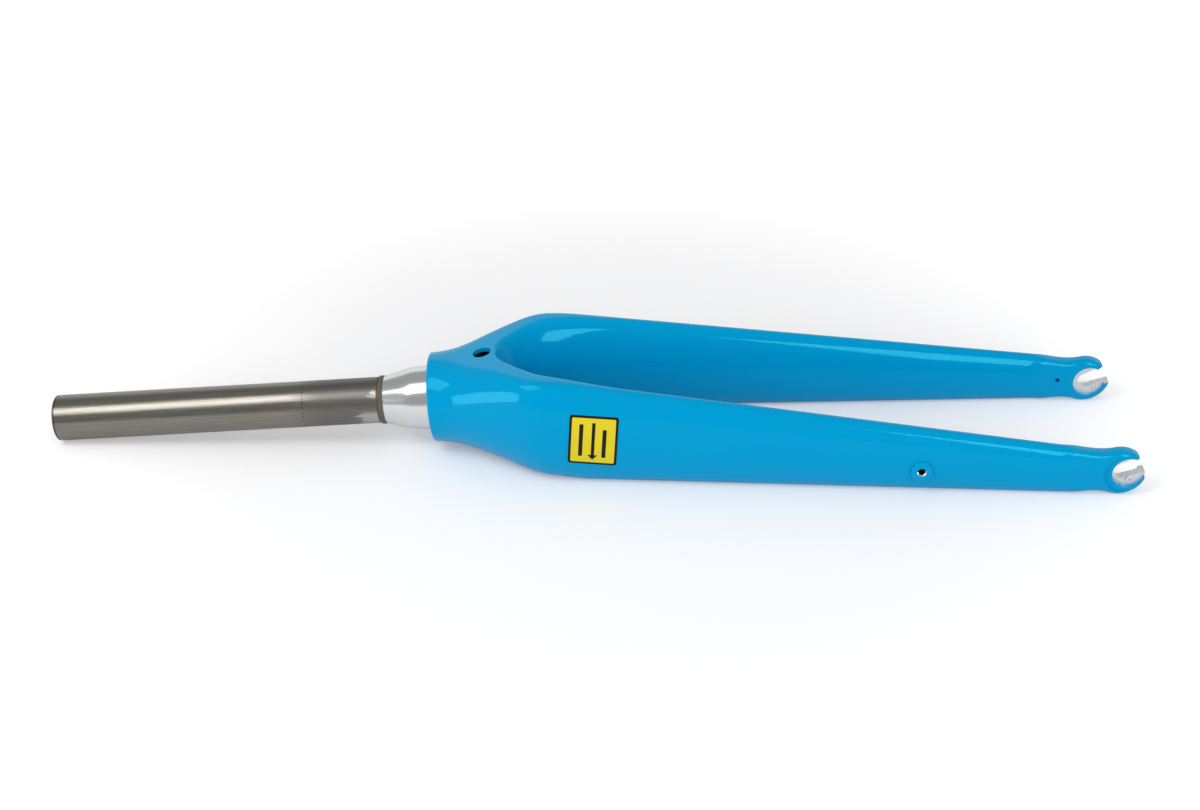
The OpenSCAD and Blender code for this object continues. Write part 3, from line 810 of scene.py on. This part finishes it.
def drawn_steel():
    """Uncoated drawn tube: grey with a brown cast, fine streaks, a dotted scribe line, a smoother
    stretch with wiped smears before the joint, and a thin line of rust at it."""
    r = Recipe("bare drawn steel", Metallic=1.0)
    place = r.fork_place()
    x, y, z = r.parts(place)
    around = r.math("ARCTAN2", y, z)
    streaks = r.noise(r.stretched(place, (0.02, 0.8, 0.8)), scale=2.0, detail=5.0, rough=0.6)
    tone = r.blend(r.step(streaks, 0.3, 0.72), STEEL_DARK, STEEL_LIGHT)
    tone = r.blend(r.times(r.noise(place, scale=0.03, detail=2.0), 0.5), tone, STEEL_BROWN)
    smooth = r.step(x, MARK_X - 12, MARK_X + 14)
    tone = r.blend(r.times(smooth, 0.5), tone, STEEL_SMOOTH)
    dots = r.noise(r.joined(r.times(around, 14.0), 0.0, 0.0), scale=1.0, detail=1.0)
    mark = r.times(r.span(x, MARK_X - 0.5, MARK_X + 0.5, 0.2), r.step(dots, 0.5, 0.58))
    tone = r.blend(r.times(mark, 0.8), tone, SCRIBED_MARK)
    rags = r.noise(r.stretched(place, (0.1, 0.7, 0.7)), scale=1.0, detail=4.0, rough=0.7)
    ragged_x = r.math("ADD", x, r.times(rags, 24.0))
    above = r.times(r.step(ragged_x, -26.0, -24.0), r.span(around, -0.95, -0.62, 0.08))
    below = r.times(r.step(ragged_x, -34.0, -31.0), r.span(around, -2.4, -1.6, 0.15))
    tone = r.blend(r.math("MAXIMUM", above, below), tone, WIPED_CLEAN)
    rust = r.step(x, TUBE_END - 1.5, TUBE_END - 0.9)
    tone = r.blend(r.times(rust, 0.85), tone, RUST_BROWN)
    cut_end = r.math("SUBTRACT", 1.0, r.step(x, 1.2 - STEERER_LENGTH, 2.2 - STEERER_LENGTH))
    tone = r.blend(r.times(cut_end, 0.7), tone, CUT_BROWN)
    specks = r.step(r.noise(place, scale=1.1, detail=2.0), 0.72, 0.76)
    tone = r.blend(r.times(specks, 0.6), tone, STEEL_SPECKS)
    r.set("Base Color", tone)
    rough = r.math("ADD", r.range(streaks, 0.2, 0.3), r.times(rust, 0.25))
    rough = r.math("ADD", rough, r.times(smooth, 0.16))
    r.set("Roughness", rough)
    r.set("Normal", r.bump(streaks, distance=0.0002, strength=0.25))
    return r.material


def turned_aluminium():
    """Bright turned aluminium with fine grooves round its axis."""
    r = Recipe("turned aluminium", Metallic=1.0)
    x, _, _ = r.parts(r.fork_place())
    grooves = r.noise(r.joined(x, 0.0, 0.0), scale=6.0, detail=3.0, rough=0.6)
    r.set("Base Color", r.blend(grooves, TURNED_DARK, TURNED_LIGHT))
    r.set("Roughness", r.range(grooves, 0.14, 0.24))
    r.set("Normal", r.bump(grooves, distance=0.00005, strength=0.2))
    return r.material


def machined_aluminium():
    """Machined hub faces: rings about the cutter's centre, with a few dark marks."""
    r = Recipe("machined aluminium", Metallic=1.0)
    place = r.fork_place()
    x, _, z = r.parts(place)
    dx = r.math("SUBTRACT", x, AXLE_X + SPOT_IN_SHIFT)
    dz = r.math("ADD", z, RAKE)
    rings = r.noise(r.joined(r.length(dx, dz), 0.0, 0.0), scale=1.4, detail=2.0, rough=0.6)
    tone = r.blend(r.step(rings, 0.35, 0.6), MACHINED_DARK, MACHINED_LIGHT)
    patch = r.times(r.span(dx, 0.0, 5.0, 1.0), r.span(dz, -6.5, -4.0, 0.8))
    marks = r.times(r.step(r.noise(place, scale=0.6, detail=2.0), 0.55, 0.62), patch)
    r.set("Base Color", r.blend(r.times(marks, 0.7), tone, MACHINED_MARKS))
    r.set("Roughness", r.range(rings, 0.42, 0.55))
    r.set("Normal", r.bump(rings, distance=0.0001, strength=0.5))
    return r.material


def adhesive():
    """Squeezed-out adhesive: matte, grey-green and a little uneven."""
    r = Recipe("grey adhesive")
    lumps = r.noise(r.fork_place(), scale=0.6, detail=3.0)
    r.set("Base Color", r.blend(lumps, ADHESIVE_DARK, ADHESIVE_LIGHT))
    r.set("Roughness", r.range(lumps, 0.5, 0.7))
    r.set("Normal", r.bump(lumps, distance=0.0005, strength=0.3))
    return r.material


# The print in millimetres from the label's middle, y towards the arrow's tail.
PRINT_SOFTNESS = 0.05
BORDER = 1.5
BORDER_ROUND = 0.9
SHAFT_Y = 1.2
SHAFT_HALF_WIDTH = 1.0
SHAFT_HALF_LENGTH = 11.2
SHAFT_ROUND = 0.1
ARROW_TIP = -13.2
ARROW_HEAD_END = -9.6
ARROW_SPREAD = 0.85
BAR_HALF_WIDTH = 1.2
BAR_ROUND = 0.3
BARS = ((-7.3, 0.2, 11.0), (6.6, -1.4, 9.8))


def label_print():
    """Yellow vinyl with a black rounded border, an arrow towards the front and plain bars."""
    r = Recipe("printed yellow vinyl", Specular_IOR_Level=0.25)
    uv = r.tree.nodes.new("ShaderNodeUVMap")
    uv.uv_map = "label"
    u, v, _ = r.parts(uv.outputs[0])
    x = r.times(r.math("SUBTRACT", u, 0.5), LABEL_W)
    y = r.times(r.math("SUBTRACT", v, 0.5), LABEL_H)

    def box(cx, cy, half_width, half_height, corner):
        """Distance from the edge of an upright box with round corners."""
        dx = r.math("SUBTRACT", r.math("ABSOLUTE", r.math("SUBTRACT", x, cx)), half_width - corner)
        dy = r.math("SUBTRACT", r.math("ABSOLUTE", r.math("SUBTRACT", y, cy)), half_height - corner)
        out = r.length(r.math("MAXIMUM", dx, 0.0), r.math("MAXIMUM", dy, 0.0))
        return r.math("SUBTRACT", out, corner)

    def outside(distance):
        return r.step(distance, -PRINT_SOFTNESS, PRINT_SOFTNESS)

    def inside(distance):
        return r.math("SUBTRACT", 1.0, outside(distance))

    ink = outside(box(0, 0, LABEL_W / 2 - BORDER, LABEL_H / 2 - BORDER, BORDER_ROUND))
    shaft = inside(box(0, SHAFT_Y, SHAFT_HALF_WIDTH, SHAFT_HALF_LENGTH, SHAFT_ROUND))
    from_tip = r.math("SUBTRACT", y, ARROW_TIP)
    head_sides = r.math("SUBTRACT", r.math("ABSOLUTE", x), r.times(from_tip, ARROW_SPREAD))
    head = r.times(inside(head_sides), inside(r.math("SUBTRACT", y, ARROW_HEAD_END)))
    ink = r.math("MAXIMUM", ink, r.math("MAXIMUM", shaft, head))
    for bar_x, bar_y, half_length in BARS:
        bar = inside(box(bar_x, bar_y, BAR_HALF_WIDTH, half_length, BAR_ROUND))
        ink = r.math("MAXIMUM", ink, bar)
    grain = r.noise(r.fork_place(), scale=0.8, detail=2.0)
    r.set("Base Color", r.blend(ink, r.blend(grain, VINYL_DEEP, VINYL_YELLOW), VINYL_INK))
    r.set("Roughness", r.range(grain, 0.3, 0.42))
    r.set("Normal", r.bump(grain, distance=0.0002, strength=0.1))
    return r.material


# Floor, light and camera.

FLOOR_HALF = 6
FLOOR_COLOUR = (0.86, 0.86, 0.87, 1)
FLOOR_LIFT = 0.2
FLOOR_LIFT_FAR = 1.0
LIFT_FROM = 0.18
LIFT_TO = 0.85
WORLD_LIGHT = 0.59
DARK_CEILING = 0.34
PALE_BACKDROP = 0.8
BACKDROP_WAY = (0.0, 1.0, -0.9)
BACKDROP_FROM = 0.1
BACKDROP_TO = 0.4
# Each softbox has its centre and its two edges in metres, and its power in watts.
SOFTBOXES = {
    "collar softbox": ((-0.64, -0.52, 1.04), (-0.597, -0.215, -0.275), (0.24, -0.49, -0.1), 4.4),
    "crown softbox": ((-1.4, -0.76, 0.275), (0.035, 0.035, 0.45), (-0.22, 0.4, 0), 3),
    "leg softbox": ((0.894, -1.45, 0.78), (0.582, 0, 0.145), (-0.206, 0, 0.825), 10),
}
CAMERA_TILT = radians(31.502)
CAMERA_TURN = radians(-1.808)
CAMERA_ROLL = radians(-0.688)
CAMERA_LOOK = (0.006849, 0.041448, 0)
CAMERA_DISTANCE = 1.195604
CAMERA_LENS = 55.579


def ramp(nodes, links, value, low, high, smooth=None):
    """A Map Range node from low to high, smooth between two values where they are given."""
    made = nodes.new("ShaderNodeMapRange")
    links.new(value, made.inputs["Value"])
    made.inputs["To Min"].default_value = low
    made.inputs["To Max"].default_value = high
    if smooth:
        made.interpolation_type = "SMOOTHSTEP"
        made.inputs["From Min"].default_value = smooth[0]
        made.inputs["From Max"].default_value = smooth[1]
    return made


def floor_paint():
    """Pale and matte. The camera alone also sees it glow, more so away from the object."""
    material = bpy.data.materials.new("white floor")
    material.use_nodes = True
    nodes = material.node_tree.nodes
    links = material.node_tree.links
    nodes.clear()
    diffuse = nodes.new("ShaderNodeBsdfDiffuse")
    diffuse.inputs["Color"].default_value = FLOOR_COLOUR
    lift = nodes.new("ShaderNodeEmission")
    lift.inputs["Color"].default_value = (1, 1, 1, 1)
    coordinates = nodes.new("ShaderNodeTexCoord")
    distance = nodes.new("ShaderNodeVectorMath")
    distance.operation = "LENGTH"
    links.new(coordinates.outputs["Object"], distance.inputs[0])
    away = ramp(nodes, links, distance.outputs["Value"], FLOOR_LIFT, FLOOR_LIFT_FAR,
                (LIFT_FROM, LIFT_TO))
    path = nodes.new("ShaderNodeLightPath")
    strength = nodes.new("ShaderNodeMath")
    strength.operation = "MULTIPLY"
    links.new(path.outputs["Is Camera Ray"], strength.inputs[0])
    links.new(away.outputs["Result"], strength.inputs[1])
    links.new(strength.outputs[0], lift.inputs["Strength"])
    both = nodes.new("ShaderNodeAddShader")
    links.new(diffuse.outputs[0], both.inputs[0])
    links.new(lift.outputs[0], both.inputs[1])
    out = nodes.new("ShaderNodeOutputMaterial")
    links.new(both.outputs[0], out.inputs["Surface"])
    return material


def white_floor():
    bm = bmesh.new()
    bmesh.ops.create_grid(bm, x_segments=1, y_segments=1, size=FLOOR_HALF)
    mesh = bpy.data.meshes.new("floor")
    bm.to_mesh(mesh)
    bm.free()
    mesh.materials.append(floor_paint())
    floor = bpy.data.objects.new("floor", mesh)
    bpy.context.scene.collection.objects.link(floor)


def white_world():
    """White to the camera, plain light on the object, and in its reflections a dark ceiling that
    turns into a pale backdrop low behind it."""
    world = bpy.data.worlds.new("studio")
    bpy.context.scene.world = world
    world.use_nodes = True
    nodes = world.node_tree.nodes
    links = world.node_tree.links
    background = nodes["Background"]
    background.inputs["Color"].default_value = (1, 1, 1, 1)
    path = nodes.new("ShaderNodeLightPath")
    seen = ramp(nodes, links, path.outputs["Is Camera Ray"], WORLD_LIGHT, 1.0)
    direction = nodes.new("ShaderNodeTexCoord")
    slope = nodes.new("ShaderNodeVectorMath")
    slope.operation = "DOT_PRODUCT"
    slope.inputs[1].default_value = BACKDROP_WAY
    links.new(direction.outputs["Generated"], slope.inputs[0])
    backdrop = ramp(nodes, links, slope.outputs["Value"], DARK_CEILING, PALE_BACKDROP,
                    (BACKDROP_FROM, BACKDROP_TO))
    reflected = ramp(nodes, links, path.outputs["Is Glossy Ray"], 0.0, 1.0)
    links.new(seen.outputs["Result"], reflected.inputs["To Min"])
    links.new(backdrop.outputs["Result"], reflected.inputs["To Max"])
    links.new(reflected.outputs["Result"], background.inputs["Strength"])


def softbox(name, centre, length, width, power):
    """A panel that isn't seen itself, with its two sides given as edges."""
    length = Vector(length)
    width = Vector(width)
    lamp = bpy.data.lights.new(name, "AREA")
    lamp.shape = "RECTANGLE"
    lamp.size = length.length
    lamp.size_y = width.length
    lamp.energy = power
    obj = bpy.data.objects.new(name, lamp)
    bpy.context.scene.collection.objects.link(obj)
    x = length.normalized()
    z = x.cross(width).normalized()
    y = z.cross(x)
    turn = Matrix((x, y, z)).transposed().to_4x4()
    obj.matrix_world = Matrix.Translation(centre) @ turn
    obj.visible_camera = False


def camera():
    """The photograph's view: 31.5 degrees down, from the fork's left side."""
    forward = Vector((sin(CAMERA_TURN) * cos(CAMERA_TILT), cos(CAMERA_TURN) * cos(CAMERA_TILT),
                      -sin(CAMERA_TILT)))
    level = Vector((cos(CAMERA_TURN), -sin(CAMERA_TURN), 0))
    upright = level.cross(forward)
    right = cos(CAMERA_ROLL) * level + sin(CAMERA_ROLL) * upright
    up = right.cross(forward)
    place = Vector(CAMERA_LOOK) - CAMERA_DISTANCE * forward
    data = bpy.data.cameras.new("camera")
    data.sensor_fit = "HORIZONTAL"
    data.sensor_width = 36
    data.lens = CAMERA_LENS
    data.clip_start = 0.01
    obj = bpy.data.objects.new("camera", data)
    bpy.context.scene.collection.objects.link(obj)
    turn = Matrix((right, up, -forward)).transposed().to_4x4()
    obj.matrix_world = Matrix.Translation(place) @ turn
    bpy.context.scene.camera = obj


paint = gloss_paint()
aluminium = turned_aluminium()
painted_fork(paint, machined_aluminium())
steerer_tube(drawn_steel())
joint_ring(adhesive())
lower_steerer(aluminium)
threaded_boss("left_threaded_boss", "left_boss", -1, paint, aluminium)
threaded_boss("right_threaded_boss", "right_boss", 1, paint, aluminium)
direction_label(label_print())
white_floor()
white_world()
for name, shape in SOFTBOXES.items():
    softbox(name, *shape)
camera()
bpy.context.scene.view_settings.view_transform = "Standard"
